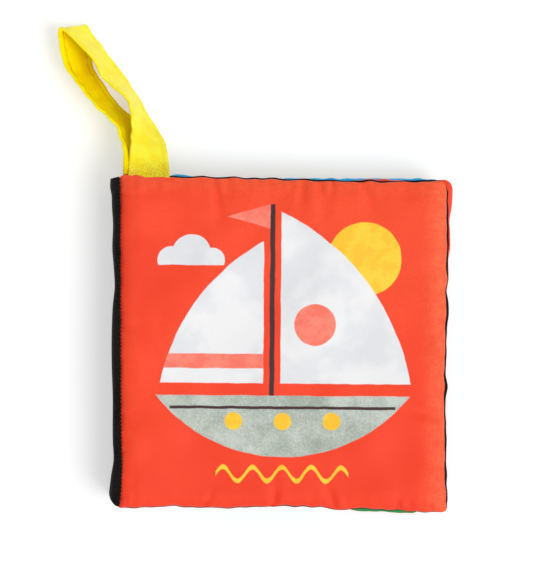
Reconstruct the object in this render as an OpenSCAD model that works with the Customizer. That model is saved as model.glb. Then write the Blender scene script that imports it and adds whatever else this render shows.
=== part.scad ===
// Padded cloth activity book for a baby, lying closed on its back cover.
// Four sewn pads are stacked: front cover, two leaves and back cover. A black
// cloth strip binds the spine, and a strap loop is sewn into the top seam of
// the front cover.
// +X runs from the spine to the fore edge, +Y to the top of the cover, +Z up.
// The origin is the middle of the back cover's outer face, on the table.

/* [Pads] */
// Width of a pad, from its spine seam to its fore edge
pad_w = 150; // [120:1:200]
// Height of a pad, from its bottom seam to its top seam
pad_h = 151; // [120:1:200]
// Thickness of a pad inside its rounded border
pad_t = 7; // [6:0.5:10]
// Thickness of a pad at its sewn edge
rim_t = 2.4; // [2.2:0.1:4]
// Width of the rounded border between the seam and the flat middle
border = 10; // [8:0.5:16]
// Corner radius at the seam
corner_r = 3; // [2:0.5:6]
// How far each side is drawn in between its corners
pull_in = 0.8; // [0:0.1:2]
// Free space between two pads of different bodies
pad_gap = 0.3; // [0.2:0.1:1]

/* [Gathers] */
// Depth of the gathers beside the seams of the front cover
gather_depth = 1.1; // [0:0.1:1.5]
// Width of one gather along the seam
gather_w = 5; // [4:0.5:9]

/* [Pages] */
// Number of padded leaves between the covers
leaf_count = 2; // [1:1:4]
// How far the upper leaf stands out at the fore edge
leaf_out = 1.2; // [0:0.1:2]
// How far the upper leaf leans out further at its top corner
leaf_lean = 1.3; // [0:0.1:2]
// How far the lowest leaf stands out at the top
leaf_up = 1.2; // [0:0.1:2]
// How far the back cover hangs out at the bottom
back_down = 0.8; // [0:0.1:2]

/* [Spine] */
// How far the spine strip stands out past the pads at its ends
spine_out = 5; // [4:0.5:8]
// Share of that reach that is left between the ends
spine_waist = 0.68; // [0.6:0.02:0.9]
// Depth of the ripples along the strip
spine_ripple = 0.3; // [0:0.1:0.5]
// Number of ripples along the strip
spine_ripples = 5; // [2:1:8]
// Thickness of the folded strip cloth
spine_cloth = 1; // [0.8:0.1:1.4]

/* [Hanging loop] */
// Width of the strap
strap_w = 19; // [14:0.5:24]
// Thickness of the strap, two layers of satin
strap_t = 0.7; // [0.5:0.1:0.8]
// How far the loop reaches past the top seam
loop_reach = 68; // [50:1:90]
// Distance from the spine seam to the strap
strap_inset = 2; // [1:0.5:10]
// Length of each strap end inside the seam
tail_len = 8; // [5:0.5:9]
// Height of the strap's lower edge over the table at the far end
loop_foot = 2.6; // [1:0.2:6]

/* [Print] */
// Width that stands for 100 units of the printed picture
print_size = 112; // [60:1:114]
// Thickness of the ink
ink_t = 0.3; // [0.2:0.05:0.5]

/* [Hidden] */

red = [0.97, 0.27, 0.15];
black = [0.09, 0.09, 0.1];
blue = [0.05, 0.55, 0.82];
green = [0.13, 0.52, 0.25];
yellow = [0.99, 0.87, 0.12];
sage = [0.7, 0.76, 0.72];
white = [0.93, 0.93, 0.94];
coral = [0.98, 0.5, 0.44];
brown = [0.24, 0.15, 0.14];

// Levels, from the table up
pages_z = pad_t + pad_gap;
pages_h = leaf_count * pad_t;
front_z = pages_z + pages_h + pad_gap;
back_seam_z = pad_t / 2;
front_seam_z = front_z + pad_t / 2;
top_z = front_z + pad_t;

// Points along one side and round one corner of every pad
side_steps = 20;
corner_steps = 3;
// Steps of the rounded border, from the seam in to the flat middle
border_steps = 4;
// The flat middle has rounder corners than the seam
middle_corner = corner_r + border / 2;

// Places of the gathers, as shares of the side's length from its middle
gathers_top = [-0.2, 0.05, 0.15, 0.25];
gathers_spine = [];
gathers_bottom = [0.2, 0.05, -0.15];
gathers_fore = [-0.25];
gathers = [gathers_top, gathers_spine, gathers_bottom, gathers_fore];

function sum(v, i = 0) = i < len(v) ? v[i] + sum(v, i + 1) : 0;

// Strength of the gathers on one side, at share u of that side from its middle
function gathered(side, u, length) =
  sum([for (g = gathers[side]) exp(-pow((u - g) * length / gather_w * 2, 2))]);

// Corners run round from the upper right one, anticlockwise seen from above
corner_signs = [[1, 1], [-1, 1], [-1, -1], [1, -1]];
function corner_centre(k, size, r) =
  [corner_signs[k].x * (size.x / 2 - r), corner_signs[k].y * (size.y / 2 - r)];
function corner_point(k, size, r, turn) =
  corner_centre(k, size, r) + r * [cos(90 * k + 90 * turn), sin(90 * k + 90 * turn)];

// One level of a pad. share is 0 at the seam and 1 at the flat middle. depth
// is how strongly the gathers show there.
function pad_ring(share, z, shift = [0, 0], lean = 0, depth = 0) =
  let (
    inset = border * (1 - cos(90 * share)),
    size = [pad_w - 2 * inset, pad_h - 2 * inset],
    r = corner_r + (middle_corner - corner_r) * share,
    place = function (p) [
      p.x + shift.x + lean * p.y / (pad_h / 2),
      p.y + shift.y
    ]
  )
  [for (k = [0:3])
    let (
      from = corner_point(k, size, r, 1),
      to = corner_point((k + 1) % 4, size, r, 0),
      inward = [cos(90 * k - 90), sin(90 * k - 90)]
    )
    each concat(
      [for (j = [0:corner_steps])
        let (p = place(corner_point(k, size, r, j / corner_steps))) [p.x, p.y, z]],
      [for (i = [1:side_steps - 1])
        let (
          t = i / side_steps,
          fold = depth * gathered(k, t - 0.5, norm(to - from)),
          drawn = pull_in * (1 - share) * sin(180 * t) + fold / 3,
          p = place(from + (to - from) * t + inward * drawn)
        )
        [p.x, p.y, z - fold * sin(180 * share)]])];

// Half thickness of a pad at a share of its border
function half_t(share) = rim_t / 2 + (pad_t - rim_t) / 2 * sin(90 * share);

// Solid through rings of points that run anticlockwise seen from its far end.
// A band is thin: its two faces get the same diagonals, so they stay parallel.
module loft(rings, band = false) {
  n = len(rings[0]);
  last = (len(rings) - 1) * n;
  walls = [for (j = [0:len(rings) - 2], i = [0:n - 1])
    let (a = j * n + i, b = j * n + (i + 1) % n)
    each band && i >= n / 2
      ? [[a, a + n, b], [a + n, b + n, b]]
      : [[a, a + n, b + n], [a, b + n, b]]];
  ends = [for (i = [0:n / 2 - 2])
    let (c = n - 1 - i)
    each [[i, i + 1, c], [i + 1, c - 1, c],
      [last + i, last + c, last + i + 1], [last + i + 1, last + c, last + c - 1]]];
  polyhedron([for (r = rings) each r], concat(walls, ends), convexity = 8);
}

shares = [for (i = [0:border_steps]) i / border_steps];

// Upper cloth panel of a pad with its share of the filling
module upper_half(seam_z, shift = [0, 0], depth = 0)
  loft(concat(
    [pad_ring(0, seam_z, shift, 0, depth)],
    [for (s = shares) pad_ring(s, seam_z + half_t(s), shift, 0, depth * cos(90 * s))]));

// Lower cloth panel of a pad with its share of the filling
module lower_half(seam_z, shift = [0, 0], depth = 0)
  loft(concat(
    [for (i = [border_steps:-1:0]) pad_ring(shares[i], seam_z - half_t(shares[i]), shift)],
    [pad_ring(0, seam_z, shift, 0, depth)]));

// Slot in the seam plane where the strap ends are sewn in
strap_x = -pad_w / 2 + strap_inset;
strap_stagger = 1.5;
tail_gap = 0.2;
slot_play = 0.3;
slot_h = strap_t + tail_gap / 2 + 0.05;
seam_y = pad_h / 2;
module strap_slot()
  translate([strap_x - slot_play, seam_y - tail_len - slot_play, front_seam_z - slot_h])
    cube([strap_w + strap_stagger + 2 * slot_play, 2 * tail_len, 2 * slot_h]);

module front_cover_face()
  color(red)
    difference() {
      upper_half(front_seam_z, depth = gather_depth);
      strap_slot();
    }

module front_cover_lining()
  color(black)
    difference() {
      lower_half(front_seam_z, depth = gather_depth);
      strap_slot();
    }

back_shift = [0, -back_down];
module back_cover_lining()
  color(green) upper_half(back_seam_z, back_shift);

module back_cover_face()
  color(red) lower_half(back_seam_z, back_shift);

// Leaves of the book, pressed together in the middle and sewn at the spine.
// Each leaf keeps its own rounded edge.
crease_share = 0.9;
function leaf_shift(i) =
  [i == leaf_count - 1 ? leaf_out : 0, i == 0 ? leaf_up : 0];
function leaf_lean_of(i) = i == leaf_count - 1 ? leaf_lean : 0;
function leaf_rings(i) =
  let (
    seam_z = pages_z + (i + 0.5) * pad_t,
    first = i == 0 ? 1 : crease_share,
    low = [for (s = shares) if (s < first) s],
    shift = leaf_shift(i),
    lean = leaf_lean_of(i)
  )
  concat(
    [pad_ring(first, seam_z - pad_t / 2, shift * (i == 0 ? 1 : 0.5), lean * (i == 0 ? 1 : 0.5))],
    [for (j = [len(low) - 1:-1:0]) pad_ring(low[j], seam_z - half_t(low[j]), shift, lean)],
    [for (s = low) pad_ring(s, seam_z + half_t(s), shift, lean)]);

// Seam allowances of the leaves, sewn together inside the spine strip
bind_in = 5;
bind_y = 4;
spine_x = -pad_w / 2 - 0.5;
bind_half = (pages_h - pad_t) / 2 + rim_t / 4;
strip_inner_half = pages_h / 2 - spine_cloth;
strip_inner_reach = spine_out * spine_waist - spine_ripple - spine_cloth;
bind_out = strip_inner_reach * sqrt(1 - pow(bind_half / strip_inner_half, 2)) - pad_gap;
module pages()
  color(blue)
    union() {
      loft(concat(
        [for (i = [0:leaf_count - 1]) each leaf_rings(i)],
        [pad_ring(1, pages_z + pages_h, leaf_shift(leaf_count - 1), leaf_lean_of(leaf_count - 1))]));
      translate([spine_x - bind_out, -pad_h / 2 + bind_y, pages_z + pages_h / 2 - bind_half])
        cube([bind_out + bind_in, pad_h - 2 * bind_y, 2 * bind_half]);
    }

// Cloth strip bound round the spine: a curved channel as high as the pages,
// which flares at both ends and ripples between them
spine_steps = 30;
arc_steps = 8;
flare_power = 8;
function spine_reach(t) =
  let (end = pow(abs(2 * t - 1), flare_power))
  spine_out * (spine_waist + (1 - spine_waist) * end)
  + spine_ripple * cos(360 * spine_ripples * t) * (1 - end);
function spine_arc(reach, half, y, turns) =
  [for (a = turns) [spine_x - reach * cos(a), y, pages_z + pages_h / 2 + half * sin(a)]];
function spine_ring(t) =
  let (
    y = -pad_h / 2 + pad_h * t,
    reach = spine_reach(t),
    turns = [for (i = [0:arc_steps]) -90 + 180 * i / arc_steps],
    back = [for (i = [arc_steps:-1:0]) -90 + 180 * i / arc_steps]
  )
  concat(
    spine_arc(reach, pages_h / 2, y, turns),
    spine_arc(reach - spine_cloth, pages_h / 2 - spine_cloth, y, back));
module spine_strip()
  color(black) loft([for (i = [0:spine_steps]) spine_ring(i / spine_steps)]);

// Route of the strap from its lower end round the loop to its upper end.
// Sideways and forward run in shares of loop_reach, drop from 0 at the seam to
// 1 at the table. heading and tilt turn the strap's width.
// [sideways, forward, drop, heading, tilt]
strap_route = [
  [-0.010, 0.000, 0.00, 0, 0],
  [-0.040, 0.138, 0.42, 2, 30],
  [-0.102, 0.276, 0.80, 13, 56],
  [-0.205, 0.418, 0.95, 36, 67],
  [-0.330, 0.548, 0.98, 42, 71],
  [-0.446, 0.690, 1.00, 38, 68],
  [-0.508, 0.850, 1.02, 22, 58],
  [-0.510, 1.006, 1.02, 12, 54],
  [-0.403, 0.910, 1.00, 20, 68],
  [-0.300, 0.792, 1.00, 36, 75],
  [-0.200, 0.669, 1.00, 40, 78],
  [-0.116, 0.537, 0.99, 25, 77],
  [-0.060, 0.393, 0.92, 7, 65],
  [-0.016, 0.259, 0.68, 5, 46],
  [0.004, 0.132, 0.32, 3, 27],
  [0.010, 0.000, 0.00, 0, 0]
];
strap_steps = 4;
last_leg = len(strap_route) - 2;

// Smooth curve through the rows of a route, at share t of leg i
function row(i) = strap_route[max(0, min(len(strap_route) - 1, i))];
function smooth(i, t) =
  let (p = row(i - 1), q = row(i), r = row(i + 1), s = row(i + 2))
  0.5 * (2 * q + (r - p) * t + (2 * p - 5 * q + 4 * r - s) * t * t
    + (3 * q - p - 3 * r + s) * t * t * t);

anchor = [strap_x + (strap_w + strap_stagger) / 2, seam_y + 1, front_seam_z];
far_z = loop_foot + strap_w / 2 * sin(56);
function strap_middle(v, along) = [
  anchor.x + v[0] * loop_reach + strap_stagger * (along - 0.5),
  anchor.y + v[1] * loop_reach,
  anchor.z + v[2] * (far_z - anchor.z) + (strap_t + tail_gap) * (along - 0.5)
];
function strap_across(v) =
  [cos(v[3]) * cos(v[4]), sin(v[3]) * cos(v[4]), -sin(v[4])];

route_rows = concat(
  [for (i = [0:last_leg], k = [0:strap_steps - 1]) smooth(i, k / strap_steps)],
  [row(last_leg + 1)]);
route_last = len(route_rows) - 1;
route_middles = [for (i = [0:route_last]) strap_middle(route_rows[i], i / route_last)];
function unit(v) = v / norm(v);
function route_way(i) =
  unit(route_middles[min(route_last, i + 1)] - route_middles[max(0, i - 1)]);

// Section of the strap: a flat band with pointed edges
strap_columns = 3;
function strap_section(middle, across, way) =
  let (
    up = unit(cross(way, across)) * strap_t / 2,
    half = (strap_w - strap_t) / 2,
    places = [for (k = [0:strap_columns]) half * (1 - 2 * k / strap_columns)]
  )
  concat(
    [middle + across * strap_w / 2],
    [for (s = places) middle + across * s + up],
    [middle - across * strap_w / 2],
    [for (k = [strap_columns:-1:0]) middle + across * places[k] - up]);
function strap_end(i) =
  strap_section(route_middles[i] - [0, tail_len + 1, 0], [1, 0, 0], [0, i == 0 ? 1 : -1, 0]);
module hanging_loop()
  color(yellow)
    loft(concat(
      [strap_end(0)],
      [for (i = [0:route_last]) strap_section(route_middles[i], strap_across(route_rows[i]),
        i == 0 ? [0, 1, 0] : i == route_last ? [0, -1, 0] : route_way(i))],
      [strap_end(route_last)]), band = true);

// Printed picture of a sailing boat, in units of a hundredth of print_size
unit_mm = print_size / 100;
mast_share_x = -4.5;
mast_share_w = 2;
deck_share_y = -21;
foot_share_y = -16;
module disc(at, r) translate(at * unit_mm) circle(r = r * unit_mm, $fn = 96);
module area(low, high)
  translate(low * unit_mm) square((high - low) * unit_mm);

module hull_shape()
  intersection() {
    disc([0, 20], 66);
    area([-60, -60], [60, deck_share_y]);
  }
module main_sail_shape()
  intersection() {
    disc([-41.6, -31.9], 95);
    area([-1, foot_share_y], [60, 60]);
  }
module jib_shape()
  intersection() {
    disc([33.5, -32.2], 85);
    area([-60, foot_share_y], [-8, 60]);
  }
module cloud_shape()
  intersection() {
    union() {
      disc([-46, 34], 5.5);
      disc([-37.5, 36.5], 8);
      disc([-29, 34], 5);
    }
    area([-60, 32], [0, 60]);
  }
module plank_shape()
  area([-46, deck_share_y - 5.5], [46, deck_share_y - 4.3]);
module mast_shape()
  area([mast_share_x - mast_share_w / 2, deck_share_y], [mast_share_x + mast_share_w / 2, 57]);
module pennant_shape()
  polygon([[mast_share_x - 1, 57], [mast_share_x - 1, 47], [-23, 52]] * unit_mm);
module sail_disc() disc([13, 8], 8.5);
module jib_band()
  intersection() {
    jib_shape();
    area([-60, -10], [0, -4]);
  }
module portholes() for (x = [-20, 0, 20]) disc([x, -31.5], 3.6);

// Ripple line under the boat: half rings that turn up and down by turns
ripple_share_y = -53;
ripple_share_r = 3;
ripple_share_t = 1.4;
module ripple_shape()
  for (i = [-4:4])
    intersection() {
      difference() {
        disc([i * 2 * ripple_share_r, ripple_share_y], ripple_share_r + ripple_share_t / 2);
        disc([i * 2 * ripple_share_r, ripple_share_y], ripple_share_r - ripple_share_t / 2);
      }
      if (i % 2 == 0) area([-60, ripple_share_y], [60, 0]);
      else area([-60, -70], [60, ripple_share_y]);
    }

module ink(colour)
  color(colour)
    translate([0, 0, top_z]) linear_extrude(ink_t) children();

module print_white()
  ink(white) {
    difference() {
      main_sail_shape();
      sail_disc();
    }
    difference() {
      jib_shape();
      jib_band();
    }
    cloud_shape();
  }
module print_sage()
  ink(sage)
    difference() {
      hull_shape();
      portholes();
      plank_shape();
    }
module print_yellow()
  ink(yellow) {
    difference() {
      disc([33, 35], 15);
      main_sail_shape();
    }
    portholes();
    ripple_shape();
  }
module print_coral()
  ink(coral) {
    sail_disc();
    jib_band();
    pennant_shape();
  }
module print_brown()
  ink(brown) {
    mast_shape();
    plank_shape();
  }

front_cover_face();
front_cover_lining();
print_white();
print_sage();
print_yellow();
print_coral();
print_brown();
hanging_loop();
spine_strip();
pages();
back_cover_lining();
back_cover_face();
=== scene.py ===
"""Padded cloth activity book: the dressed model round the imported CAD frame.

Four sewn pads, a bound cloth spine and a strap loop, seen from straight above.
Lengths in this file are millimetres, and MM turns them into Blender's metres.
"""
import math

import bpy
import numpy as np
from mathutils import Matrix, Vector


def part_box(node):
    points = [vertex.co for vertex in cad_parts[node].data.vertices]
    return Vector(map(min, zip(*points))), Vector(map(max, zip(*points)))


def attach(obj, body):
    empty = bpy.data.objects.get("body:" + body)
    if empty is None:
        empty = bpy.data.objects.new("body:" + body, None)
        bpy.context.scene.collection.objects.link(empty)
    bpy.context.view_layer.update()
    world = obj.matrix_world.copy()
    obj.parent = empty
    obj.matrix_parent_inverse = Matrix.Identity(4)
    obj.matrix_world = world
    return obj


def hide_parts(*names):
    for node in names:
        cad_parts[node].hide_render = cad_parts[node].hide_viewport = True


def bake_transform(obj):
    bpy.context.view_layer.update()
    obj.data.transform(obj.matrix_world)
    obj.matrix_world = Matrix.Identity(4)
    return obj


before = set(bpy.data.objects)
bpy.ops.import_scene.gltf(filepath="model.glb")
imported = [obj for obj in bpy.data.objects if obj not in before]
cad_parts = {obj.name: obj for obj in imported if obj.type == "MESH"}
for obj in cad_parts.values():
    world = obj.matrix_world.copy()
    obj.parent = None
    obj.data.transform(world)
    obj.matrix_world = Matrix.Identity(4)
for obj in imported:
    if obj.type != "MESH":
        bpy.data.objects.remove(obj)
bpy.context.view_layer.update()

MM = 0.001

# ---------------------------------------------------------------- the frame
def node_box(*names):
    """Lowest and highest corner of some CAD nodes at rest, in millimetres."""
    corners = [np.array(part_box(n)) / MM for n in names]
    return (np.min([c[0] for c in corners], axis=0), np.max([c[1] for c in corners], axis=0))


FACE = node_box("front_cover_face")
LINING = node_box("front_cover_lining")
BACK = node_box("back_cover_face", "back_cover_lining")
PAGES = node_box("pages")
STRIP = node_box("spine_strip")
PAD_W = FACE[1][0] - FACE[0][0]
PAD_H = FACE[1][1] - FACE[0][1]
FRONT_SEAM_Z = FACE[0][2]
TOP_Z = FACE[1][2]
LEAF_T = (PAGES[1][2] - PAGES[0][2]) / 2
HINGE_X = -PAD_W / 2 - 0.5

# ---------------------------------------------------------------- the photograph
IMAGE_W, IMAGE_H = 533, 572
MM_PER_PIXEL = 0.457
ORIGIN_PIXEL = (283.5, 344.0)


def from_pixel(px, py):
    """Place on the cover's plane, in millimetres, of a pixel of the photograph."""
    return ((px - ORIGIN_PIXEL[0]) * MM_PER_PIXEL, (ORIGIN_PIXEL[1] - py) * MM_PER_PIXEL)


LENS, SENSOR = 200, 36
FOCAL_Z = TOP_Z - 2
ROLL = math.radians(0.5)
CAMERA_HEIGHT = IMAGE_H * MM_PER_PIXEL * LENS / SENSOR
AIM = np.array(from_pixel(IMAGE_W / 2, IMAGE_H / 2))


def seen_at(px, py, z):
    """Place at height z that the camera shows at a pixel of the photograph."""
    off = np.array([(px - IMAGE_W / 2), (IMAGE_H / 2 - py)]) * MM_PER_PIXEL
    off = off * (CAMERA_HEIGHT + FOCAL_Z - z) / CAMERA_HEIGHT
    turned = (off[0] * math.cos(ROLL) - off[1] * math.sin(ROLL),
              off[0] * math.sin(ROLL) + off[1] * math.cos(ROLL))
    return np.array([AIM[0] + turned[0], AIM[1] + turned[1], z])


def along_x(px):
    """Place across the cover of a pixel column."""
    return from_pixel(px, 0)[0]


def along_y(py):
    """Place up the cover of a pixel row."""
    return from_pixel(0, py)[1]


def hermite(t, step, first, second, slope_first, slope_second):
    """Value at share t of a step between two points of a smooth curve."""
    return ((2 * t ** 3 - 3 * t ** 2 + 1) * first + (t ** 3 - 2 * t ** 2 + t) * step * slope_first
            + (3 * t ** 2 - 2 * t ** 3) * second + (t ** 3 - t ** 2) * step * slope_second)


def curve(points, where):
    """Smooth curve through (place, value) points, flat past its ends."""
    places, values = np.array(sorted(points), float).T
    where = np.clip(where, places[0], places[-1])
    i = np.clip(np.searchsorted(places, where) - 1, 0, len(places) - 2)
    if len(places) > 2:
        slope = np.gradient(values, places)
    else:
        slope = np.full(2, np.diff(values) / np.diff(places))
    step = places[i + 1] - places[i]
    t = (where - places[i]) / step
    return hermite(t, step, values[i], values[i + 1], slope[i], slope[i + 1])


# ---------------------------------------------------------------- smooth random curves
def waves(seed, low, high, count=7):
    """A fixed sum of sine waves along a line, about 1 high. low and high bound the wavelength."""
    rng = np.random.default_rng(seed)
    length = rng.uniform(low, high, count)
    phase = rng.uniform(0, 2 * math.pi, count)
    weight = rng.uniform(0.5, 1, count)
    scale = 1 / np.sqrt((weight ** 2).sum() / 2) / 1.6
    return lambda u: scale * sum(
        w * np.sin(2 * math.pi * np.asarray(u) / l + p) for w, l, p in zip(weight, length, phase))


def swells(seed, low, high, count=9):
    """The same over a plane."""
    rng = np.random.default_rng(seed)
    length = rng.uniform(low, high, count)
    turn = rng.uniform(0, math.pi, count)
    phase = rng.uniform(0, 2 * math.pi, count)
    scale = 1 / math.sqrt(count / 2) / 1.6
    return lambda x, y: scale * sum(
        np.sin(2 * math.pi * (x * math.cos(t) + y * math.sin(t)) / l + p)
        for l, t, p in zip(length, turn, phase))


def smoothstep(x, low, high):
    """Smooth rise from 0 at low to 1 at high."""
    t = np.clip((np.asarray(x) - low) / (high - low), 0, 1)
    return t * t * (3 - 2 * t)


# ---------------------------------------------------------------- meshes
def mesh_object(name, points, faces, materials, slots=None, smooth=True):
    """Mesh object from points in millimetres."""
    mesh = bpy.data.meshes.new(name)
    mesh.from_pydata([tuple(p) for p in np.asarray(points) * MM], [], [tuple(f) for f in faces])
    for material in materials:
        mesh.materials.append(material)
    if slots is not None:
        mesh.polygons.foreach_set("material_index", list(slots))
    mesh.polygons.foreach_set("use_smooth", [smooth] * len(mesh.polygons))
    mesh.update()
    obj = bpy.data.objects.new(name, mesh)
    bpy.context.scene.collection.objects.link(obj)
    return obj


def tube_skin(rings):
    """Faces of a skin through rings of equally many points, with both ends closed."""
    n = len(rings[0])
    faces = []
    for j in range(len(rings) - 1):
        for i in range(n):
            k = (i + 1) % n
            faces.append((j * n + i, j * n + k, (j + 1) * n + k, (j + 1) * n + i))
    last = (len(rings) - 1) * n
    for i in range(n // 2 - 1):
        c = n - 1 - i
        faces.append((i, c, c - 1, i + 1))
        faces.append((last + i, last + i + 1, last + c - 1, last + c))
    return faces


def grid_quads(grid):
    """Faces of a grid of point numbers."""
    corners = grid[:-1, :-1], grid[1:, :-1], grid[1:, 1:], grid[:-1, 1:]
    return np.stack([c.ravel() for c in corners], axis=1)


def two_panels(nx, ny):
    """Point numbers of an upper and a lower grid that share their border, and that border."""
    index = np.arange(nx * ny).reshape(nx, ny)
    border = np.zeros((nx, ny), bool)
    border[[0, -1], :] = True
    border[:, [0, -1]] = True
    under = np.where(border, index, -1)
    under[~border] = nx * ny + np.arange((~border).sum())
    return index, under, border


# ---------------------------------------------------------------- padded pieces
RIM_STEPS = 16
MIDDLE_STEPS = 84
BORDER = 11.0           # width of a pad's rounded border
SEAM_WAVE = 0.28        # how far a seam's small waves stand out
SEAM_RISE = 0.35        # how far they rise and fall


def spacing(length):
    """Places along a pad, close together near its two seams."""
    turns = np.linspace(0, math.pi / 2, RIM_STEPS + 1)[:-1]
    rim = BORDER * (1 - np.cos(turns))
    middle = np.linspace(BORDER, length - BORDER, MIDDLE_STEPS)
    return np.concatenate([rim, middle, length - rim[::-1]])


def dome(d):
    """Height of a pad's rounded border at a distance from its seam, 0 to 1."""
    return np.sqrt(np.clip(1 - (1 - np.clip(d / BORDER, 0, 1)) ** 2, 0, 1))


class Pucker:
    """A crease that runs in from a seam."""

    def __init__(self, side, at, depth=1.0, width=2.2, reach=4.0, skew=0.0):
        self.side, self.at, self.depth = side, at, depth
        self.width, self.reach, self.skew = width, reach, skew

    def height(self, x, y, edges):
        along = x if self.side in ("top", "bottom") else y
        d = edges[self.side]
        q = (along - self.at - self.skew * d) / (self.width * (1 + 0.35 * d / self.reach))
        fade = (d / (0.6 * self.reach)) ** 0.6 * np.exp(0.6 - d / self.reach)
        return -self.depth * (1 - 1.1 * q * q) * np.exp(-q * q) * fade


SIM_STEPS = 39          # points along each side of the coarse copy
SIM_FRAMES = 20
SIM_SCALE = 0.01        # the simulated copy is ten times the real size
SIM_PRESSURE = 2
SIM_EXCESS = 0.02       # how much larger the cloth is than its pattern
SIM_CAP = 0.9           # most that a point may rise or fall
SIM_FADE = 7            # distance from the seam over which the simulation fades in


def settle(upper, lower):
    """Blender's cloth simulation on a coarse copy of one pad, in mm.

    upper and lower are grids of places that share their border, which is pinned as the
    seam. The cloth is a little larger than its pattern, with pressure and light springs inside
    it for the wadding. Returns how far it moves each grid.
    """
    nx, ny = upper.shape[:2]
    index, under, border = two_panels(nx, ny)
    points = np.concatenate([upper.reshape(-1, 3), lower[~border]]) * SIM_SCALE
    faces = np.concatenate([grid_quads(index), grid_quads(under)[:, ::-1]])
    mesh = bpy.data.meshes.new("settle")
    mesh.from_pydata(points.tolist(), [], faces.tolist())
    mesh.update()
    obj = bpy.data.objects.new("settle", mesh)
    scene = bpy.context.scene
    scene.collection.objects.link(obj)
    pinned = obj.vertex_groups.new(name="seam")
    pinned.add(index[border].tolist(), 1.0, "REPLACE")
    cloth_mod = obj.modifiers.new("Cloth", "CLOTH")
    cloth_mod.point_cache.frame_start = 1
    cloth_mod.point_cache.frame_end = SIM_FRAMES
    cloth_mod.collision_settings.use_collision = False
    settings = cloth_mod.settings
    settings.vertex_group_mass = "seam"
    settings.tension_stiffness = 20
    settings.compression_stiffness = 20
    settings.shear_stiffness = 8
    settings.bending_stiffness = 0.6
    settings.use_pressure = True
    settings.uniform_pressure_force = SIM_PRESSURE
    settings.shrink_min = -SIM_EXCESS
    settings.use_internal_springs = True
    settings.internal_spring_max_length = 0.15
    settings.internal_tension_stiffness = 1
    settings.internal_compression_stiffness = 1
    settings.effector_weights.gravity = 0
    for frame_number in range(1, SIM_FRAMES + 1):
        scene.frame_set(frame_number)
    settled = obj.evaluated_get(bpy.context.evaluated_depsgraph_get())
    result = settled.to_mesh()
    flat = np.empty(len(result.vertices) * 3)
    result.vertices.foreach_get("co", flat)
    settled.to_mesh_clear()
    scene.frame_set(1)
    bpy.data.objects.remove(obj)
    bpy.data.meshes.remove(mesh)
    moved = flat.reshape(-1, 3) / SIM_SCALE
    new_upper = moved[:nx * ny].reshape(nx, ny, 3)
    new_lower = new_upper.copy()
    new_lower[~border] = moved[nx * ny:]
    return new_upper - upper, new_lower - lower


def soften(grid, times):
    """Average each value of a grid with its neighbours."""
    for _ in range(times):
        wide = np.pad(grid, 1, mode="edge")
        grid = (wide[:-2, 1:-1] + wide[2:, 1:-1] + wide[1:-1, :-2] + wide[1:-1, 2:]
                + 2 * wide[1:-1, 1:-1]) / 6
    return grid


def settled_heights(px, py, top, low):
    """How far the simulation lifts or lowers each panel of a pad, capped, on its full grid."""
    rows = np.unique(np.round(np.linspace(0, px.shape[0] - 1, SIM_STEPS)).astype(int))
    columns = np.unique(np.round(np.linspace(0, px.shape[1] - 1, SIM_STEPS)).astype(int))
    coarse = np.ix_(rows, columns)
    border = np.ones((len(rows), len(columns)), bool)
    border[1:-1, 1:-1] = False
    low = np.where(border, top[coarse], low[coarse])
    centre = np.array([px.mean(), py.mean(), top.mean()])
    upper = np.stack([px[coarse], py[coarse], top[coarse]], axis=-1) - centre
    lower = np.stack([px[coarse], py[coarse], low], axis=-1) - centre
    heights = []
    for move in settle(upper, lower):
        lift = soften(move[..., 2], 1)
        lift = SIM_CAP * np.tanh((lift - lift.mean()) / SIM_CAP)
        along = np.stack([np.interp(np.arange(px.shape[1]), columns, row) for row in lift])
        full = np.stack([np.interp(np.arange(px.shape[0]), rows, c) for c in along.T], axis=1)
        heights.append(soften(full, 3))
    return heights


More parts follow.
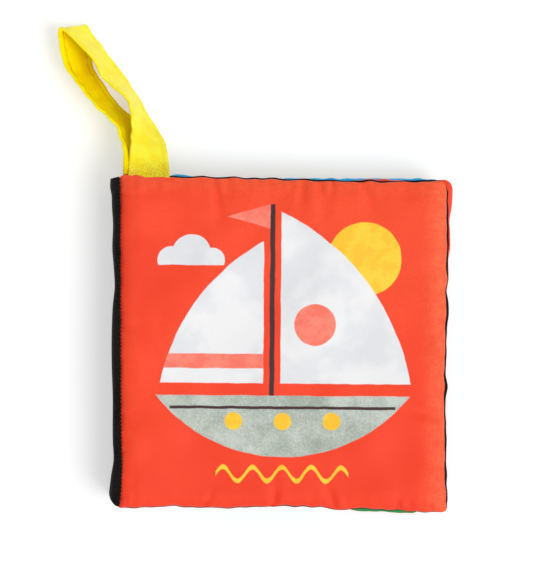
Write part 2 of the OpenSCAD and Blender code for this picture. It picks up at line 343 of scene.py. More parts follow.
def pad(name, box, seam_z, low_z, high_z, seed, materials, puckers=(), pull=0.9, corner=3.2,
        gather=0.3, proud=(0.0, 0.0), roll=None, shift=(0.0, 0.0), lean=0.0, outline=None):
    """One sewn pad of two cloth panels that meet at a knife-edge seam.

    proud is how far the upper and lower panels may swell past their levels.
    roll is how far the lower panel rolls out past the seam on each side.
    outline gives, for a side, points (place along it, how far the seam stands out there).
    """
    (x0, y0), (x1, y1) = box
    w, h = x1 - x0, y1 - y0
    cx, cy = (x0 + x1) / 2, (y0 + y1) / 2
    roll = roll or {}
    gx, gy = np.meshgrid(spacing(w) + x0, spacing(h) + y0, indexing="ij")
    nx, ny = gx.shape
    edges = {"left": gx - x0, "right": x1 - gx, "bottom": gy - y0, "top": y1 - gy}
    nearest = np.minimum.reduce(list(edges.values()))
    full = dome(edges["left"]) * dome(edges["right"]) * dome(edges["bottom"]) * dome(edges["top"])

    # Plan: rounded corners, sides drawn in between them, and a wavy seam
    u, v = (gx - cx) / (w / 2), (gy - cy) / (h / 2)
    ax, ay = abs(u) * w / 2, abs(v) * h / 2
    over_x, over_y = ax - (w / 2 - corner), ay - (h / 2 - corner)
    far = np.hypot(np.maximum(over_x, 0), np.maximum(over_y, 0))
    scale = np.where(far > corner, corner / np.maximum(far, 1e-9), 1)
    rounded = (over_x > 0) & (over_y > 0)
    px = np.where(rounded, w / 2 - corner + over_x * scale, ax) * np.sign(u) + cx
    py = np.where(rounded, h / 2 - corner + over_y * scale, ay) * np.sign(v) + cy
    fade = np.exp(-nearest / 9)
    px = px - np.sign(u) * pull * (1 - v * v) * abs(u) ** 6 * fade
    py = py - np.sign(v) * pull * (1 - u * u) * abs(v) ** 6 * fade
    wobble = {side: waves(seed + i, 6, 19) for i, side in enumerate(edges)}
    near = {side: np.exp(-np.clip(d, 0, None) / 2.5) for side, d in edges.items()}
    px = px + SEAM_WAVE * (near["right"] * wobble["right"](gy) - near["left"] * wobble["left"](gy))
    py = py + SEAM_WAVE * (near["top"] * wobble["top"](gx) - near["bottom"] * wobble["bottom"](gx))
    for side, points in (outline or {}).items():
        out = curve(points, gx if side in ("top", "bottom") else gy) * np.exp(-edges[side] / 6)
        if side in ("left", "right"):
            px = px + out * (1 if side == "right" else -1)
        else:
            py = py + out * (1 if side == "top" else -1)

    # Height of each panel over and under the seam
    fine = {side: waves(seed + 10 + i, 2.6, 7.5, 11) for i, side in enumerate(edges)}
    fine_low = {side: waves(seed + 20 + i, 2.6, 7.5, 11) for i, side in enumerate(edges)}

    def gathers(table):
        total = 0
        for side, d in edges.items():
            along = gx if side in ("top", "bottom") else gy
            total = total + (d / 1.8) * np.exp(1 - d / 1.8) * table[side](along)
        return gather * total

    broad = swells(seed + 30, 24, 70)
    creases = sum((p.height(gx, gy, edges) for p in puckers), np.zeros_like(gx))
    seam_rise = {side: waves(seed + 40 + i, 9, 30) for i, side in enumerate(edges)}
    seam_line = seam_z + SEAM_RISE * sum(
        near[side] * seam_rise[side](gx if side in ("top", "bottom") else gy) for side in edges)
    top = seam_line + (high_z - seam_z) * full + gathers(fine) + creases \
        + proud[0] * broad(gx, gy) * full
    low = seam_line - (seam_z - low_z) * full + gathers(fine_low) * 0.7 \
        + proud[1] * broad(gx + 50, gy) * full
    lift, drop = settled_heights(px, py, top, low)
    inside = smoothstep(nearest, 0, SIM_FADE)
    top = top + lift * inside
    low = low + drop * inside
    if proud[0] == 0:
        top = np.minimum(top, high_z)
    if proud[1] == 0:
        low = np.maximum(low, low_z)

    # The lower panel rolls out past the seam
    lx, ly = px.copy(), py.copy()
    for i, (side, amount) in enumerate(roll.items()):
        d = edges[side]
        along = gx if side in ("top", "bottom") else gy
        out = amount * (1 + 0.22 * waves(seed + 50 + i, 12, 40)(along))
        if side in ("top", "bottom"):
            out = out * smoothstep(gx - x0, 0, 6) * smoothstep(x1 - gx, 0, 6)
        else:
            out = out * smoothstep(gy - y0, 0, 6) * smoothstep(y1 - gy, 0, 6)
        bulge = out * (d / 0.5) * np.exp(1 - d / 0.5)
        if side in ("left", "right"):
            lx = lx + bulge * (1 if side == "right" else -1)
        else:
            ly = ly + bulge * (1 if side == "top" else -1)

    def placed(x, y, z):
        """Seam places with the pad's own shift, and its lean towards one corner."""
        return np.stack([x + shift[0] + lean * (y - cy) / (h / 2), y + shift[1], z], axis=-1)

    upper = placed(px, py, top).reshape(-1, 3)
    lower = placed(lx, ly, low).reshape(-1, 3)
    index, under, border = two_panels(nx, ny)
    upper[index[border]] = placed(px, py, seam_line)[border]
    points = np.concatenate([upper, lower[index[~border]]])
    upper_faces = grid_quads(index)
    lower_faces = grid_quads(under)[:, [0, 3, 2, 1]]
    slots = [0] * len(upper_faces) + [1] * len(lower_faces)
    faces = np.concatenate([upper_faces, lower_faces]).tolist()
    return mesh_object(name, points, faces, materials, slots)


# ---------------------------------------------------------------- materials
class Value:
    """A number inside a material. Sums and products of values add Math nodes."""

    def __init__(self, shader, socket):
        self.shader, self.socket = shader, socket

    def _op(self, kind, other, swap=False):
        first, second = (other, self) if swap else (self, other)
        return self.shader.math(kind, first, second)

    def __add__(self, other): return self._op("ADD", other)
    def __radd__(self, other): return self._op("ADD", other, True)
    def __sub__(self, other): return self._op("SUBTRACT", other)
    def __rsub__(self, other): return self._op("SUBTRACT", other, True)
    def __mul__(self, other): return self._op("MULTIPLY", other)
    def __rmul__(self, other): return self._op("MULTIPLY", other, True)
    def __neg__(self): return self * -1


class Shader:
    """A Principled material whose colour and bump are built from values in millimetres."""

    def __init__(self, name, roughness=0.75, sheen=0.25, sheen_rough=0.5, specular=0.3):
        self.material = bpy.data.materials.new(name)
        self.material.use_nodes = True
        self.tree = self.material.node_tree
        self.surface = self.tree.nodes["Principled BSDF"]
        self.surface.inputs["Roughness"].default_value = roughness
        self.surface.inputs["Sheen Weight"].default_value = sheen
        self.surface.inputs["Sheen Roughness"].default_value = sheen_rough
        self.surface.inputs["Specular IOR Level"].default_value = specular
        coords = self.tree.nodes.new("ShaderNodeTexCoord")
        scale = self.tree.nodes.new("ShaderNodeVectorMath")
        scale.operation = "SCALE"
        scale.inputs["Scale"].default_value = 1 / MM
        self.tree.links.new(coords.outputs["Object"], scale.inputs[0])
        self.place = scale.outputs[0]
        parts = self.tree.nodes.new("ShaderNodeSeparateXYZ")
        self.tree.links.new(self.place, parts.inputs[0])
        self.x, self.y, self.z = (Value(self, s) for s in parts.outputs)

    def feed(self, socket, value):
        if isinstance(value, Value):
            self.tree.links.new(value.socket, socket)
        else:
            socket.default_value = value

    def math(self, kind, first, second=None, third=None):
        node = self.tree.nodes.new("ShaderNodeMath")
        node.operation = kind
        for socket, value in zip(node.inputs, (first, second, third)):
            if value is not None:
                self.feed(socket, value)
        return Value(self, node.outputs[0])

    def low(self, *values):
        result = values[0]
        for value in values[1:]:
            result = self.math("MINIMUM", result, value)
        return result

    def high(self, *values):
        result = values[0]
        for value in values[1:]:
            result = self.math("MAXIMUM", result, value)
        return result

    def noise(self, size, detail=2.0, rough=0.5, offset=0.0, stretch=(1, 1, 1)):
        """Noise from 0 to 1 whose blobs are about size millimetres wide."""
        mapping = self.tree.nodes.new("ShaderNodeMapping")
        mapping.inputs["Location"].default_value = (offset, offset * 0.7, offset * 1.3)
        mapping.inputs["Scale"].default_value = [s / size for s in stretch]
        self.tree.links.new(self.place, mapping.inputs[0])
        node = self.tree.nodes.new("ShaderNodeTexNoise")
        node.inputs["Scale"].default_value = 1.0
        node.inputs["Detail"].default_value = detail
        node.inputs["Roughness"].default_value = rough
        self.tree.links.new(mapping.outputs[0], node.inputs["Vector"])
        return Value(self, node.outputs[0])

    def ramp(self, value, low, high, to=(0.0, 1.0)):
        """A smooth step of a value between two limits."""
        node = self.tree.nodes.new("ShaderNodeMapRange")
        node.interpolation_type = "SMOOTHSTEP"
        for key, number in zip(("From Min", "From Max", "To Min", "To Max"), (low, high, *to)):
            node.inputs[key].default_value = number
        self.feed(node.inputs["Value"], value)
        return Value(self, node.outputs[0])

    def mix(self, share, first, second):
        """Mix of two colours, each a value or a triple."""
        node = self.tree.nodes.new("ShaderNodeMix")
        node.data_type = "RGBA"
        self.feed(node.inputs[0], share)
        for socket, colour in zip((node.inputs[6], node.inputs[7]), (first, second)):
            if isinstance(colour, Value):
                self.tree.links.new(colour.socket, socket)
            else:
                socket.default_value = (*colour, 1)
        return Value(self, node.outputs[2])

    def finish(self, colour, height=None, strength=0.4, distance=0.1, rough=None):
        if isinstance(colour, Value):
            self.tree.links.new(colour.socket, self.surface.inputs["Base Color"])
        else:
            self.surface.inputs["Base Color"].default_value = (*colour, 1)
        if height is not None:
            bump = self.tree.nodes.new("ShaderNodeBump")
            bump.inputs["Strength"].default_value = strength
            bump.inputs["Distance"].default_value = distance * MM
            self.tree.links.new(height.socket, bump.inputs["Height"])
            self.tree.links.new(bump.outputs[0], self.surface.inputs["Normal"])
        if rough is not None:
            self.feed(self.surface.inputs["Roughness"], rough)
        return self.material


def linear(r, g, b):
    """sRGB bytes to Blender's linear colour."""
    return tuple(c / 255 / 12.92 if c / 255 <= 0.04045 else ((c / 255 + 0.055) / 1.055) ** 2.4
                 for c in (r, g, b))


THREAD_PITCH = 0.55


def weave(shader, pitch=THREAD_PITCH):
    """Height of a plain weave, over and under by turns."""
    turn = 2 * math.pi / pitch
    across = shader.math("SINE", shader.x * turn)
    along = shader.math("SINE", shader.y * turn)
    return across * along


def cloth(name, colour, dark, pitch=THREAD_PITCH, speckle=None, **surface):
    """Plain dyed cloth: weave, slight unevenness of the dye, small creases, pale fluff if any."""
    s = Shader(name, **surface)
    tone = s.ramp(s.noise(14, 3), 0.3, 0.7)
    speck = s.noise(0.8, 1)
    mixed = s.mix(tone * 0.5 + speck * 0.5, dark, colour)
    if speckle:
        mixed = s.mix(s.ramp(s.noise(0.6, 2, offset=91), 0.5, 0.75, (0.0, 0.7)), mixed, speckle)
    height = weave(s, pitch) * 0.35 + s.noise(5, 3, offset=3) * 1.6 + speck * 0.4
    return s.finish(mixed, height, strength=0.35, distance=0.25)


RED = linear(255, 74, 36)
RED_DARK = linear(246, 64, 30)
BLACK = linear(24, 22, 21)
BLACK_DARK = linear(8, 7, 7)

black_cloth = cloth("black_cloth", BLACK, BLACK_DARK, speckle=linear(50, 48, 44), roughness=0.9,
                    sheen=0.02, specular=0.1)
red_cloth = cloth("red_cloth", RED, RED_DARK, roughness=0.55, sheen=0.25)
blue_cloth = cloth("blue_cloth", linear(44, 196, 255), linear(24, 182, 246), roughness=0.7)
green_cloth = cloth("green_cloth", linear(44, 152, 72), linear(30, 132, 58), roughness=0.7)

# The printed picture, in units of a hundredth of PRINT_MM, as in the CAD
PRINT_MM = 112.0
UNIT = PRINT_MM / 100
MAST_X, MAST_W = -4.5, 2.0
DECK_Y, FOOT_Y = -21.0, -16.0
RIPPLE_Y, RIPPLE_R, RIPPLE_LINE = -53.0, 3.0, 1.4


def printed_cover():
    """Red cover cloth with the boat picture in five uneven inks, and painted light, shade and
    sheen on the red.
    """
    s = Shader("printed_red_cloth", roughness=0.5, sheen=0.3, sheen_rough=0.35, specular=0.3)
    # Hand-cut edges: the picture's own places wander a little
    wander = 0.9
    x = (s.x + (s.noise(9, 2, offset=11) - 0.5) * wander) * (1 / UNIT)
    y = (s.y + (s.noise(9, 2, offset=23) - 0.5) * wander) * (1 / UNIT)

    def disc(cx, cy, r):
        dx, dy = x - cx, y - cy
        return s.math("SQRT", dx * dx + dy * dy) - r

    def area(x0, y0, x1, y1):
        return s.high(x0 - x, x - x1, y0 - y, y - y1)

    sail_disc = disc(13, 8, 8.5)
    plank = area(-46, DECK_Y - 5.5, 46, DECK_Y - 4.3)
    main_sail = s.high(disc(-41.6, -31.9, 95), area(-1, FOOT_Y, 60, 60))
    jib = s.high(disc(33.5, -32.2, 85), area(-60, FOOT_Y, -8, 60))
    jib_band = s.high(jib, area(-60, -10, 0, -4))
    cloud = s.high(s.low(disc(-46, 34, 5.5), disc(-37.5, 36.5, 8), disc(-29, 34, 5)), 32 - y)
    hull = s.high(disc(0, 20, 66), y - DECK_Y)
    portholes = s.low(*(disc(px, -31.5, 3.6) for px in (-20, 0, 20)))
    sun = disc(33, 35, 15)
    mast = area(MAST_X - MAST_W / 2, DECK_Y, MAST_X + MAST_W / 2, 57)
    flag_slope = 5 / (23 + MAST_X - 1)
    flag = s.high(x - (MAST_X - 1), s.math("ABSOLUTE", y - 52) - (x + 23) * flag_slope)
    # Ripple line: a sine that stands for half rings which turn up and down by turns
    turn = math.pi / (2 * RIPPLE_R)
    ripple = s.high(
        s.math("ABSOLUTE", y - RIPPLE_Y - s.math("COSINE", x * turn) * RIPPLE_R * 0.95) * 0.72
        - RIPPLE_LINE / 2,
        s.math("ABSOLUTE", x) - 9 * RIPPLE_R)

    def ink(shape, edge=0.22):
        return s.ramp(shape, edge, -edge)

    grain = s.noise(0.9, 2, 0.7, offset=5)
    blots = s.noise(7, 4, 0.62, offset=31)
    washes = s.noise(22, 3, 0.55, offset=47)
    red = s.mix(s.ramp(s.noise(30, 2, offset=2), 0.3, 0.7), RED_DARK, RED)
    # Painted light and shade: the red is paler and more orange towards the top and the fore edge,
    # and deeper towards the bottom
    red = s.mix(s.ramp(s.y - s.x * 0.25, 10, -80, (0.0, 0.6)), red, linear(248, 52, 20))
    red = s.mix(s.ramp(s.y + s.x * 0.5, 0, 90, (0.0, 0.5)), red, linear(255, 88, 44))
    # Painted shade: the red darkens, unevenly, along the edge by the spine
    red = s.mix(s.ramp(s.x - s.noise(6, 2, offset=83) * 4, -70, -76, (0.0, 0.45)), red,
                linear(222, 50, 24))
    # Painted sheen: patches of paler orange along the fore edge, and fainter along the top edge
    painted_sheen_patches = s.ramp(s.noise(4, 3, 0.6, offset=61), 0.3, 0.7, (0.35, 0.85))
    red = s.mix(s.ramp(s.x, 61, 75) * painted_sheen_patches, red, linear(255, 122, 70))
    red = s.mix(s.ramp(s.y, 66, 75) * painted_sheen_patches * 0.4, red, linear(255, 122, 70))
    red = s.mix(s.ramp(grain, 0.3, 0.7, (0.0, 0.55)), red, linear(244, 62, 28))
    # Watercolour grey: darker where the wash pooled, with a paler rim
    wash = s.ramp(blots * 0.3 + washes * 0.4 + grain * 0.3, 0.36, 0.62)
    sage = s.mix(wash, linear(158, 168, 154), linear(204, 212, 203))
    white = s.mix(s.ramp(washes, 0.4, 0.6), linear(228, 229, 232), linear(240, 240, 241))
    yellow = s.mix(s.ramp(blots, 0.42, 0.6), linear(255, 198, 44), linear(255, 212, 56))
    coral = s.mix(s.ramp(blots, 0.4, 0.6), linear(250, 118, 98), linear(255, 136, 116))
    brown = s.mix(grain, linear(58, 34, 38), linear(74, 46, 48))
    colour = red
    layers = [
        (sun, yellow), (main_sail, white), (jib, white), (cloud, white),
        (hull, sage), (portholes, yellow), (plank, brown), (sail_disc, coral), (jib_band, coral),
        (mast, brown), (flag, coral), (ripple, yellow),
    ]
    for shape, tint in layers:
        colour = s.mix(ink(shape), colour, tint)
    height = weave(s) * 0.35 + s.noise(5, 3, offset=3) * 1.4 + grain * 0.3
    return s.finish(colour, height, strength=0.35, distance=0.25)


def strap_cloth(name, light, deep, **surface):
    """Yellow satin: fine ribs, soft creases and a speckled painted shade where it enters the seam.
    """
    s = Shader(name, **surface)
    tone = s.ramp(s.noise(6, 3, offset=7), 0.35, 0.65)
    colour = s.mix(tone, deep, light)
    speck = s.ramp(s.noise(0.55, 2, offset=17), 0.42, 0.62)
    # Painted shade: darker, speckled yellow where the strap goes into the seam
    near_seam = s.ramp(s.y + s.noise(3, 2, offset=71) * 3, 88, 78)
    colour = s.mix(near_seam * (speck * 0.45 + 0.3), colour, linear(176, 138, 4))
    height = weave(s, 0.4) * 0.25 + s.noise(3.2, 3, offset=9) * 1.5 + speck * near_seam * 0.6
    return s.finish(colour, height, strength=0.3, distance=0.25)


cover_print = printed_cover()
yellow_satin = strap_cloth("yellow_satin", linear(255, 244, 48), linear(254, 234, 20),
                           roughness=0.45, sheen=0.35, sheen_rough=0.3, specular=0.3)
# Darker matt yellow for the stitched groove: painted shade in the groove
satin_groove_shade = strap_cloth("yellow_satin_groove", linear(248, 206, 24), linear(236, 190, 10),
                           roughness=0.7, sheen=0.0, specular=0.05)
satin_back = strap_cloth("yellow_satin_back", linear(255, 240, 0), linear(255, 224, 0),
                         roughness=0.7, sheen=0.0, specular=0.05)

# ---------------------------------------------------------------- the four pads
X0, X1 = FACE[0][0], FACE[1][0]
Y0, Y1 = FACE[0][1], FACE[1][1]

cover_puckers = [
    Pucker("top", along_x(214), 2.2, 1.5, 5.0, 0.12),
    Pucker("top", along_x(228), 0.7, 2.5, 4.0, -0.15),
    Pucker("top", along_x(303), 2.0, 1.5, 4.2, -0.10),
    Pucker("top", along_x(320), 1.7, 1.8, 5.0, 0.10),
    Pucker("top", along_x(333), 1.6, 1.3, 3.6, -0.20),
    Pucker("top", along_x(362), 1.3, 1.8, 4.5, 0.35),
    Pucker("top", along_x(405), 0.7, 2.6, 3.5),
    Pucker("top", along_x(150), 0.4, 3.0, 4.0),
    Pucker("bottom", along_x(207), 1.5, 1.2, 2.4, 0.35),
    Pucker("bottom", along_x(276), 2.2, 1.5, 3.5),
    Pucker("bottom", along_x(337), 1.5, 1.8, 4.5, -0.35),
    Pucker("bottom", along_x(398), 0.6, 1.6, 2.8, 0.2),
    Pucker("bottom", along_x(412), 0.5, 1.6, 2.8, -0.3),
    Pucker("right", along_y(417), 1.3, 2.6, 8.0, 0.3),
    Pucker("right", along_y(330), 0.5, 5.0, 6.0),
    Pucker("right", along_y(262), 0.7, 3.5, 7.0, -0.2),
    Pucker("left", along_y(240), 0.6, 3.0, 4.0),
    Pucker("left", along_y(330), 0.5, 3.0, 4.0),
    Pucker("left", along_y(420), 0.7, 3.0, 4.0),
]
front_pad = pad("front_cover_pad", ((X0, Y0), (X1, Y1)), FRONT_SEAM_Z + 0.5, LINING[0][2], TOP_Z,
                101, [cover_print, black_cloth], cover_puckers, proud=(0.3, 0.0),
                roll={"top": 1.15, "right": 1.35, "bottom": 0.75},
                outline={
                    "left": [(along_y(505), 0.3), (along_y(470), 0.0), (along_y(430), 0.4),
                             (along_y(300), 0.9), (along_y(185), 0.7)],
                    "top": [(along_x(121), 1.5), (along_x(150), 0.9), (along_x(220), 0.9),
                            (along_x(290), 0.4), (along_x(350), -0.3), (along_x(446), -0.5)],
                    "right": [(along_y(505), 0.9), (along_y(490), 0.1), (along_y(440), -0.1),
                              (along_y(410), -0.3), (along_y(300), 0.2), (along_y(230), -0.1),
                              (along_y(185), -0.9)],
                    "bottom": [(along_x(121), 0.3), (along_x(172), -0.6), (along_x(210), 0.1),
                               (along_x(330), 0.0), (along_x(342), 0.7), (along_x(354), 0.1),
                               (along_x(400), 0.4), (along_x(440), 0.9)]})
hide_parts("front_cover_face", "front_cover_lining", "print_white", "print_sage",
            "print_yellow", "print_coral", "print_brown")
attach(front_pad, "front_cover")

back_pad = pad("back_cover_pad", ((BACK[0][0], BACK[0][1]), (BACK[1][0], BACK[1][1])),
               (BACK[0][2] + BACK[1][2]) / 2, BACK[0][2], BACK[1][2], 202,
               [green_cloth, red_cloth], (), roll={"bottom": 0.4},
               outline={"bottom": [(along_x(130), -0.8), (along_x(335), -0.8), (along_x(358), 1.6),
                                   (along_x(395), 2.1), (along_x(418), 2.0), (along_x(428), -0.4),
                                   (along_x(440), -1.0)]})
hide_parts("back_cover_face", "back_cover_lining")
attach(back_pad, "back_cover")

# Leaves: as in the CAD, the lower one stands out at the top, the upper at the fore edge
LEAF_UP = PAGES[1][1] - PAD_H / 2
LEAF_OUT, LEAF_LEAN = 1.2, 1.3
z0 = PAGES[0][2]
lower_leaf = pad("lower_leaf", ((X0, Y0), (X1, Y1)), z0 + LEAF_T / 2, z0, z0 + LEAF_T - 0.05, 303,
                 [blue_cloth, green_cloth], (), shift=(0, LEAF_UP),
                 outline={
                     "top": [(along_x(125), -0.4), (along_x(166), 0.2), (along_x(174), 1.3),
                             (along_x(188), 1.3), (along_x(204), -0.3), (along_x(215), -0.5),
                             (along_x(268), -0.4), (along_x(286), 0.4), (along_x(330), 0.55),
                             (along_x(385), 0.5), (along_x(430), 0.0), (along_x(446), -0.8)],
                     "right": [(along_y(505), -1), (along_y(190), -1)]})
upper_leaf = pad("upper_leaf", ((X0, Y0), (X1, Y1)), z0 + LEAF_T * 1.5, z0 + LEAF_T + 0.05,
                 z0 + 2 * LEAF_T, 404, [red_cloth, blue_cloth], (), shift=(LEAF_OUT, 0),
                 lean=LEAF_LEAN, corner=4.5,
                 outline={
                     "top": [(along_x(125), -0.6), (along_x(335), -0.4), (along_x(355), 0.9),
                             (along_x(385), 1.1), (along_x(400), 0.2), (along_x(425), 0.3),
                             (along_x(447), 0.7)],
                     "right": [(along_y(505), -1.2), (along_y(300), -0.8), (along_y(270), -0.3),
                               (along_y(240), -0.1), (along_y(215), -0.4), (along_y(190), 0.3)]})
for leaf in (lower_leaf, upper_leaf):
    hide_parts("pages")
    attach(leaf, "pages")

# ---------------------------------------------------------------- spine cloth
SPINE_CLOTH = 0.8       # thickness
SPINE_SEEN_Z = 14       # height at which the spine stands out most
SPINE_ROWS, SPINE_COLUMNS = 521, 26
TOOTH = 1.74            # pitch of the toothed edge
TOOTH_LEN = 0.65
ROUND_SHARE = 0.72      # share of each half's width that goes up round the cover's seam
ROUND_TURN = math.radians(78)
FLAP_DROP = 1.4         # how far under the cover's top the flap on its face begins
FLAP_RISE = 0.45

# Left side of the spine in the photograph, as (row, column) of its pixels
SPINE_SIDE = [(178, 111.4), (186, 111.1), (196, 112.6), (208, 113.0), (222, 114.0), (250, 113.4),
              (266, 114.7), (288, 115.8), (304, 114.0), (330, 112.8), (365, 112.8), (395, 113.8),
              (440, 113.9), (460, 114.7), (474, 112.4), (488, 110.8), (498, 110.1), (506, 111.4)]

# Edge of the black cloth on the red cover, the same way
TOOTH_SIDE = [(176, 120.2), (240, 120.6), (330, 120.7), (410, 121.2), (450, 121.8), (466, 122.2),
              (490, 121.2), (506, 119.8)]


def seam_edge(y):
    """Where the toothed edge of the black cloth lies on the red cover."""
    places = [seen_at(px, py, TOP_Z - 1) for py, px in TOOTH_SIDE]
    return float(curve([(place[1], place[0]) for place in places], y))


def spine_reach(y):
    """How far the spine stands out of the hinge line, as the photograph shows it."""
    places = [seen_at(px, py, SPINE_SEEN_Z) for py, px in SPINE_SIDE]
    return float(curve([(place[1], HINGE_X - place[0]) for place in places], y))


def spine_cloth(name, upper):
    """Half of the bound spine, from the middle of its height to one cover's face."""
    rows, columns = SPINE_ROWS, SPINE_COLUMNS
    mid_z = (STRIP[0][2] + STRIP[1][2]) / 2
    face_z = TOP_Z - mid_z
    outer, inner = [], []
    for j in range(rows):
        t = j / (rows - 1)
        y = Y0 + 0.8 + (PAD_H - 0.4) * t
        reach = spine_reach(y)
        tooth = abs((y / TOOTH) % 1 - 0.5) * 2 * TOOTH_LEN
        edge = seam_edge(y)
        route = []
        for i in range(columns):
            s = i / (columns - 1)
            # From the spine's middle up round the cover's seam and on to its face
            if s < ROUND_SHARE:
                a = s / ROUND_SHARE * ROUND_TURN
                px = HINGE_X - reach * math.cos(a) ** 0.7
                pz = (face_z - FLAP_DROP) * math.sin(a) / math.sin(ROUND_TURN)
            else:
                k = (s - ROUND_SHARE) / (1 - ROUND_SHARE)
                start = HINGE_X - reach * math.cos(ROUND_TURN) ** 0.7
                end = edge + tooth - 0.45
                px = start + (end - start) * k
                pz = face_z - FLAP_DROP + FLAP_RISE * math.sin(k * math.pi / 2)
            route.append((px, pz))
        route = np.array(route)
        way = np.gradient(route, axis=0)
        way /= np.linalg.norm(way, axis=1)[:, None]
        normal = np.stack([-way[:, 1], way[:, 0]], axis=1)
        for target, offset in ((outer, SPINE_CLOTH / 2), (inner, -SPINE_CLOTH / 2)):
            p = route + normal * offset
            z = mid_z + (p[:, 1] if upper else -p[:, 1])
            # Both ends are cut aslant: the outer side of the spine is shorter
            outer_share = smoothstep(p[:, 0], HINGE_X + 0.5, HINGE_X - 4.2)
            slant = outer_share * (3.4 * (1 - t) ** 24 - 0.8 * t ** 40)
            target.append(np.stack([p[:, 0], y + slant, z], axis=1))
    rings = [np.concatenate([o, i[::-1]]) for o, i in zip(outer, inner)]
    faces = tube_skin(rings)
    if upper:
        faces = [f[::-1] for f in faces]
    return mesh_object(name, np.concatenate(rings), faces, [black_cloth])


spine_front = spine_cloth("spine_cloth_front", True)
spine_back = spine_cloth("spine_cloth_back", False)
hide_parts("spine_strip")
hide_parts("spine_strip")
HINGE_X * MM
(FRONT_SEAM_Z - 4.5) * MM
HINGE_X * MM
(FRONT_SEAM_Z - 0.5) * MM
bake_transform(spine_front)
HINGE_X * MM
HINGE_X * MM
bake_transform(spine_back)

# ---------------------------------------------------------------- strap loop
STRAP_W, STRAP_T = 19.0, 0.85
TAIL_LEN = 8.0          # hidden in the seam at each end
HEM_W = 2.4
GROOVE_AT = 3.1         # distance of the hem's stitching from the strap's edge
# The strap as the photograph shows it, from its lower end in the seam round the fold to its upper
# end: pixel of its raised left edge, pixel of its right edge, and the right edge's height
STRAP_EDGES = [
    (124, 177, 165, 177, 24.2), (123.5, 162, 161, 163, 17.5), (123, 148, 154, 150, 9.0),
    (119, 131, 138, 125.5, 3.0), (106, 115, 117, 103, 1.2), (95, 104, 107.5, 91.5, 0.8),
    (85, 94, 99, 79, 0.8), (72, 76, 92.5, 63.5, 0.8), (62, 57, 89, 50, 0.8),
    (59.5, 42, 86.5, 37, 1.0),
    (58.8, 33, 84.5, 29, 1.3), (60, 28.8, 86, 25.8, 1.8), (65, 31.5, 88.5, 28.5, 1.5),
    (73, 38.5, 91, 32.5, 1.0), (80, 45, 94.5, 38, 0.8), (90, 55, 101.5, 47, 0.8),
    (97, 67, 109.5, 58, 0.8), (102.5, 77, 117, 66.5, 0.8), (110, 84, 122, 74.5, 0.8),
    (117, 90, 128, 82, 0.8), (124, 95.5, 133, 91, 0.8), (129, 102, 139.5, 100.5, 0.9),
    (130.5, 110, 144.5, 110, 1.2), (131.7, 119, 149.7, 119, 2.0), (132, 128, 155.7, 128, 3.5),
    (131, 140, 163.5, 139.5, 9.0), (130, 152, 167, 152, 15.0), (129, 164, 168.8, 164, 20.0),
    (128.3, 177, 169.5, 177, 25.5)]
EDGE_STEPS = 9


def strap_rows():
    """Left and right edge along the strap, by a Catmull-Rom curve over the chord length."""
    keys = []
    for lx, ly, rx, ry, z in STRAP_EDGES:
        flat = math.hypot(rx - lx, ry - ly) * MM_PER_PIXEL
        rise = math.sqrt(max(STRAP_W ** 2 - flat ** 2, 0)) if flat < 18.4 else 0.0
        keys.append(np.concatenate([seen_at(lx, ly, z + rise), seen_at(rx, ry, z)]))
    keys = np.array(keys)
    knots = np.concatenate([[0], np.cumsum(np.linalg.norm(np.diff(keys, axis=0), axis=1) ** 0.5)])
    slopes = np.gradient(keys, knots, axis=0)
    for i in range(len(keys) - 1):
        step = knots[i + 1] - knots[i]
        for k in range(EDGE_STEPS):
            t = k / EDGE_STEPS
            yield hermite(t, step, keys[i], keys[i + 1], slopes[i], slopes[i + 1])
    yield keys[-1]


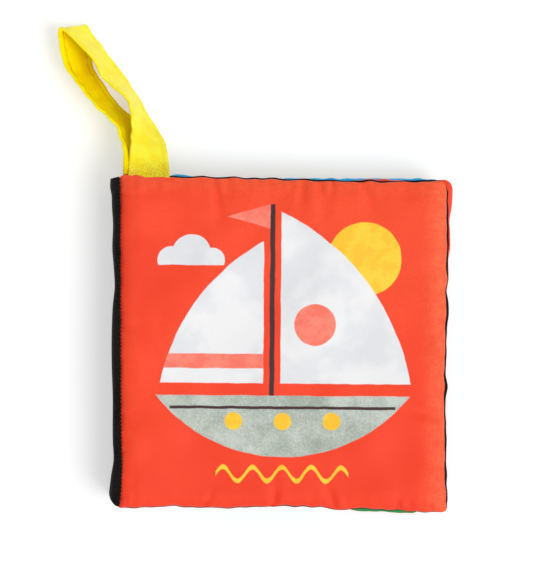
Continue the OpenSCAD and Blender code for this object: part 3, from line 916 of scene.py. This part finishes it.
def strap_loop():
    """Satin band with a rolled hem along each edge, folded over at its far end."""
    rows = np.array(list(strap_rows()))
    left, right = rows[:, :3], rows[:, 3:]
    middles = (left + right) / 2
    across = right - left
    across /= np.linalg.norm(across, axis=1)[:, None]
    way = np.gradient(middles, axis=0)
    way[0], way[-1] = (0, 1, 0), (0, -1, 0)
    way /= np.linalg.norm(way, axis=1)[:, None]
    normal = np.cross(way, across)
    normal /= np.linalg.norm(normal, axis=1)[:, None]
    run = np.concatenate([[0], np.cumsum(np.linalg.norm(np.diff(middles, axis=0), axis=1))])

    columns = 36
    share = np.sin(np.linspace(-math.pi / 2, math.pi / 2, columns)) * 0.5
    from_edge = (0.5 - abs(share)) * STRAP_W
    # Hem nearly twice as thick as the band, with a stitched groove beside it
    hem = 1 + 0.8 * (1 - smoothstep(from_edge, HEM_W - 0.4, HEM_W + 0.4)) \
        - 0.45 * np.exp(-((from_edge - GROOVE_AT) / 0.6) ** 2)
    half = STRAP_T / 2 * hem * np.sqrt(1 - (1 - np.clip(from_edge / 0.7, 0, 1)) ** 2 * 0.96)
    high_edge, low_edge = waves(606, 7, 14), waves(607, 7, 14)
    buckle, pucker = waves(608, 8, 22), waves(609, 3, 6)

    def section(middle, across_i, normal_i, s):
        free = smoothstep(s, 6, 24) * smoothstep(run[-1] - s, 6, 24)
        under = 1 - smoothstep(s, run[-1] * 0.36, run[-1] * 0.44)
        edge = np.where(share < 0, -high_edge(s) * (0.3 + 0.6 * under), low_edge(s) * 0.12)
        edge = edge * (abs(share) * 2) ** 3 * free
        bend = free * (0.4 * buckle(s + share * 6) * (0.3 + abs(share)) * (0.6 + 0.8 * under)
                       + 1.0 * under * (1 - 4 * share ** 2)
                       + 0.2 * pucker(s) * np.exp(-((from_edge - 2.8) / 1.8) ** 2))
        centre = middle + np.outer(share * STRAP_W + edge, across_i) + np.outer(bend, normal_i)
        return np.concatenate([centre + np.outer(half, normal_i),
                               (centre - np.outer(half, normal_i))[::-1]])

    tail = np.array([0, TAIL_LEN, 0])
    rings = [section(middles[0] - tail * k, across[0], normal[0], 0) for k in (1.0, 0.5)]
    rings += [section(*row) for row in zip(middles, across, normal, run)]
    rings += [section(middles[-1] - tail * k, across[-1], normal[-1], run[-1]) for k in (0.5, 1.0)]
    faces = tube_skin(rings)
    middle_of = (from_edge[1:] + from_edge[:-1]) / 2
    groove = np.argsort(abs(middle_of - GROOVE_AT))[:2]
    # On the inner face the columns nearest the stitched groove take the darker yellow: painted
    # shade in the groove
    back = [2 if i in groove else 1 for i in range(columns - 1)][::-1]
    slots = ([0] * columns + back + [0]) * (len(rings) - 1)
    slots += [0] * (len(faces) - len(slots))
    obj = mesh_object("strap_loop", np.concatenate(rings), faces,
                      [yellow_satin, satin_back, satin_groove_shade], slots)
    return obj, run[-1] + 2 * TAIL_LEN


strap, strap_length = strap_loop()
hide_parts("hanging_loop")
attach(strap, "front_cover")

# ---------------------------------------------------------------- floor, light and camera
def floor_material():
    """White table: takes the object's shadow, and is plain white to the camera elsewhere."""
    material = bpy.data.materials.new("white_table")
    material.use_nodes = True
    tree = material.node_tree
    tree.nodes.clear()
    diffuse = tree.nodes.new("ShaderNodeBsdfDiffuse")
    glow = tree.nodes.new("ShaderNodeEmission")
    rays = tree.nodes.new("ShaderNodeLightPath")
    both = tree.nodes.new("ShaderNodeMath")
    both.operation = "MAXIMUM"
    tree.links.new(rays.outputs["Is Camera Ray"], both.inputs[0])
    tree.links.new(rays.outputs["Is Glossy Ray"], both.inputs[1])
    lift = tree.nodes.new("ShaderNodeMath")
    lift.operation = "MULTIPLY"
    lift.inputs[1].default_value = 0.39
    tree.links.new(both.outputs[0], lift.inputs[0])
    shade = tree.nodes.new("ShaderNodeMapRange")
    shade.inputs["To Min"].default_value = 0.93
    shade.inputs["To Max"].default_value = 0.71
    tree.links.new(both.outputs[0], shade.inputs["Value"])
    tree.links.new(shade.outputs[0], diffuse.inputs["Color"])
    tree.links.new(lift.outputs[0], glow.inputs["Strength"])
    total = tree.nodes.new("ShaderNodeAddShader")
    out = tree.nodes.new("ShaderNodeOutputMaterial")
    tree.links.new(diffuse.outputs[0], total.inputs[0])
    tree.links.new(glow.outputs[0], total.inputs[1])
    tree.links.new(total.outputs[0], out.inputs["Surface"])
    return material


FLOOR_HALF, FLOOR_Z = 3000, -0.15
floor_corners = [(x * FLOOR_HALF, y * FLOOR_HALF, FLOOR_Z)
                 for x, y in ((-1, -1), (1, -1), (1, 1), (-1, 1))]
floor = mesh_object("floor", floor_corners, [(0, 1, 2, 3)], [floor_material()], smooth=False)

world = bpy.data.worlds.new("studio")
world.use_nodes = True
sky = world.node_tree.nodes["Background"]
sky.inputs["Color"].default_value = (1, 1, 1, 1)
sky.inputs["Strength"].default_value = 0.64
bpy.context.scene.world = world


def sun_light(name, towards, strength, spread):
    """Sun lamp that shines from a direction. spread is its width in degrees."""
    data = bpy.data.lights.new(name, "SUN")
    data.energy = strength
    data.angle = math.radians(spread)
    obj = bpy.data.objects.new(name, data)
    obj.rotation_euler = Vector(towards).to_track_quat("Z", "Y").to_euler()
    bpy.context.scene.collection.objects.link(obj)


# The photograph's light comes from its lower right, soft and fairly high
sun_light("key_light", (0.62, -0.30, 1.0), 1.5, 34)

camera_data = bpy.data.cameras.new("camera")
camera_data.lens = LENS
camera_data.sensor_width = SENSOR
camera_data.sensor_fit = "AUTO"
camera = bpy.data.objects.new("camera", camera_data)
bpy.context.scene.collection.objects.link(camera)
bpy.context.scene.camera = camera
camera.location = Vector((AIM[0], AIM[1], FOCAL_Z + CAMERA_HEIGHT)) * MM
camera.rotation_euler = (0, 0, ROLL)
camera_data.clip_end = 20

bpy.context.scene.view_settings.view_transform = "Standard"
